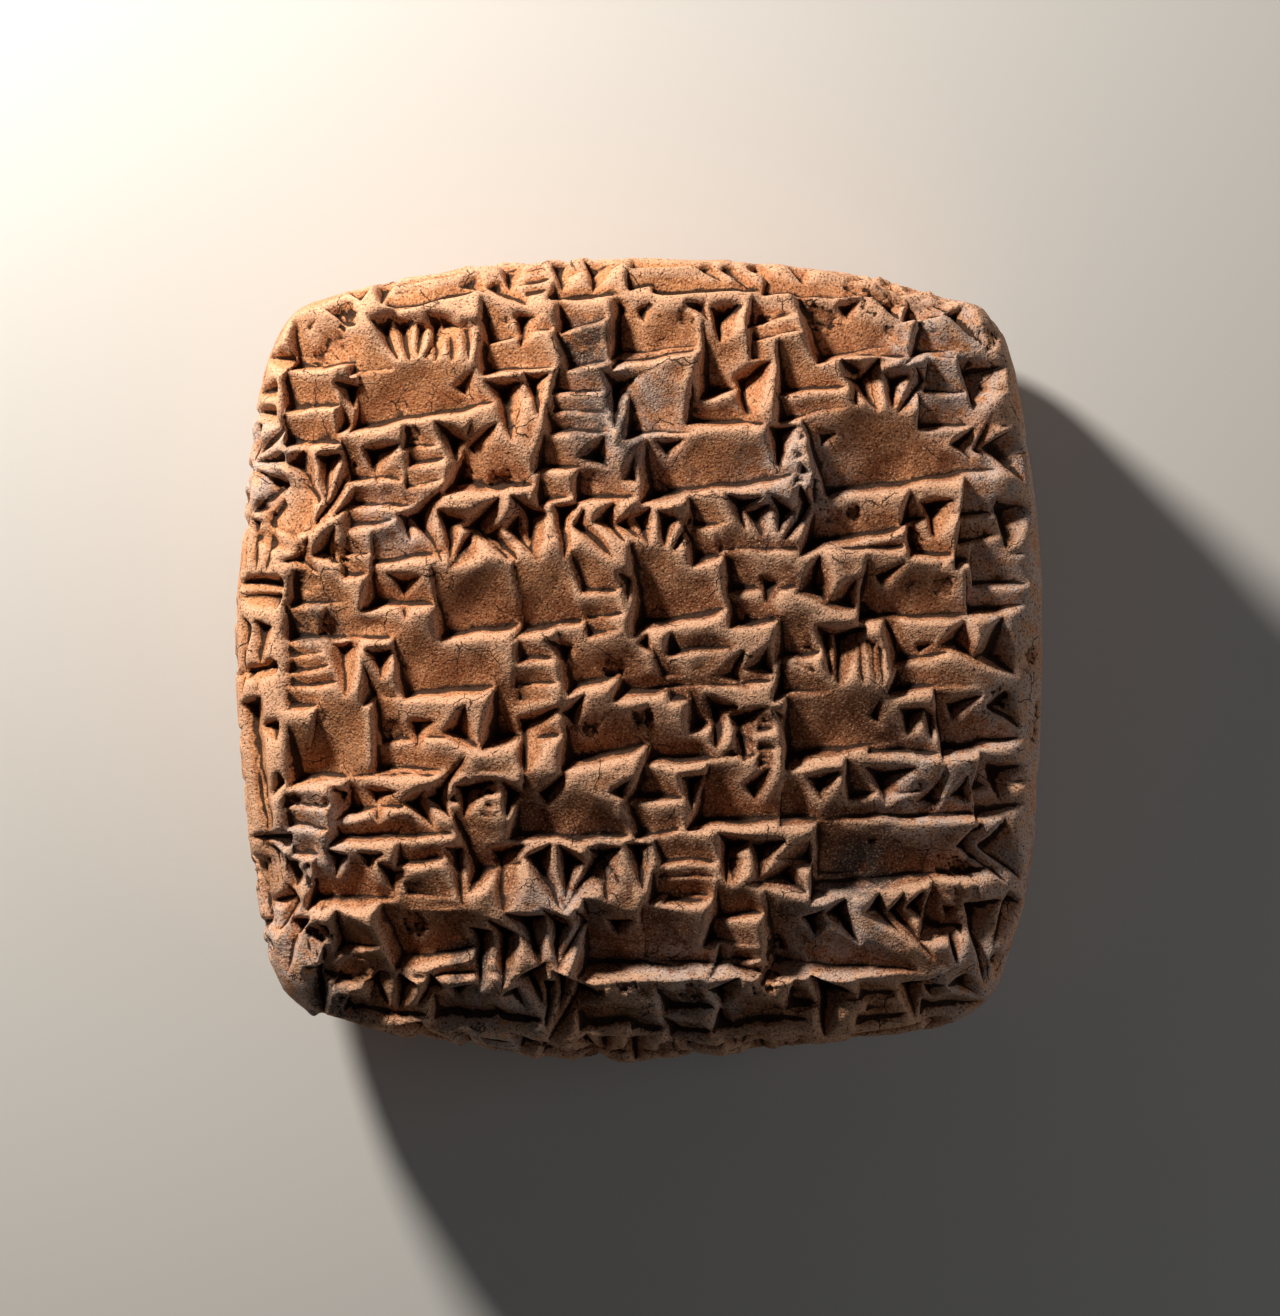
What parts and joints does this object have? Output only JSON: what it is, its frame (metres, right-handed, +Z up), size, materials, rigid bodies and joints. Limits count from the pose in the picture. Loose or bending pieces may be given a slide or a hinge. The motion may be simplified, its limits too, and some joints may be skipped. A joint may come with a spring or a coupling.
{
  "type": "cuneiform clay tablet",
  "caption": "Pillow-shaped, nearly square clay tablet lying on its reverse, both faces and the edges pressed with rows of wedge strokes that spell nothing.",
  "frame": {"origin": "middle of the tablet in plan, at the level of the small flat spot it rests on", "axes": "+Z up out of the written face, +Y towards the upper edge of the writing, +X along the rows to the right"},
  "size_m": [0.0499, 0.0492, 0.0171],
  "materials": {
    "clay": "matt, unglazed, dry fine-grained clay with a pale dusty bloom on its high places"
  },
  "bodies": {
    "root": {"clay_tablet": "clay"}
  },
  "joints": []
}
